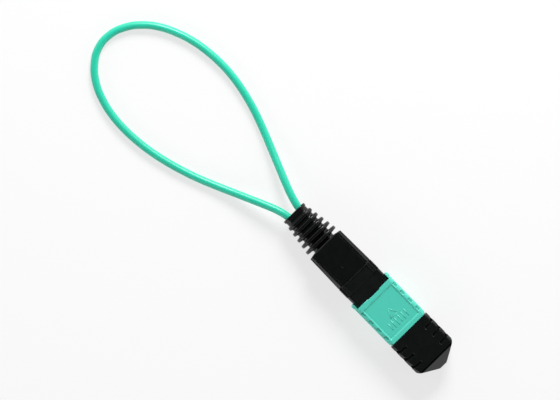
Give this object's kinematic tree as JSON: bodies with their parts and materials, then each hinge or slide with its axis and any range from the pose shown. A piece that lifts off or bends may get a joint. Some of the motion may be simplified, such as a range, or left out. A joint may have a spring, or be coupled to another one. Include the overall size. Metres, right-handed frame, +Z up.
{
  "type": "fibre loopback plug",
  "caption": "Multi-fibre loopback plug: keyed push-pull connector with a pull sleeve, ribbed strain-relief boot, dust cap and a short cable loop back into the same boot.",
  "frame": {"origin": "centre of the plug's footprint on the surface that it lies on, half-way from the boot's rear face to the dust cap's tip", "axes": "+X along the plug towards the dust cap, +Z up from the surface, +Y across the plug"},
  "size_m": [0.1208, 0.0312, 0.0077],
  "materials": {
    "cable_jacket": "smooth extruded jacket",
    "boot_elastomer": "moulded elastomer",
    "black_plastic": "fine spark-eroded texture",
    "crimp_metal": "nickel plated",
    "aramid": "loose yarn",
    "tube_plastic": "heat-shrunk",
    "fibre_coating": "coated fibre ribbon",
    "spring_steel": "drawn wire",
    "ferrule_plastic": "glass-filled moulding",
    "epoxy": "cured adhesive",
    "aqua_plastic": "satin moulding",
    "cap_plastic": "semi-gloss moulding"
  },
  "bodies": {
    "plug_body": {"front_housing": "black_plastic", "rear_body": "black_plastic", "strain_boot": "boot_elastomer", "crimp_ring": "crimp_metal", "yarn_left": "aramid", "yarn_right": "aramid", "main_spring": "spring_steel", "sleeve_spring_left": "spring_steel", "sleeve_spring_right": "spring_steel", "cable_loop": "cable_jacket"},
    "ferrule_set": {"mt_ferrule": "ferrule_plastic", "epoxy_fill": "epoxy", "ferrule_boot": "boot_elastomer", "ferrule_spacer": "black_plastic", "ribbon_left": "fibre_coating", "ribbon_right": "fibre_coating", "shrink_tube": "tube_plastic"},
    "sleeve": {"pull_sleeve": "aqua_plastic"},
    "cap": {"dust_cap": "cap_plastic"}
  },
  "joints": [
    {"name": "sleeve_slide", "type": "slide", "parent": "plug_body", "child": "sleeve", "axis": [-1, 0, 0], "range_m": [0, 0.002], "stiffness_N_per_m": 600, "deforming": ["sleeve_spring_left", "sleeve_spring_right"]},
    {"name": "ferrule_float", "type": "slide", "parent": "plug_body", "child": "ferrule_set", "axis": [-1, 0, 0], "range_m": [0, 0.0005], "stiffness_N_per_m": 2000, "deforming": ["main_spring"]},
    {"name": "cap_slide", "type": "slide", "parent": "plug_body", "child": "cap", "axis": [1, 0, 0], "range_m": [0, 0.014]}
  ]
}
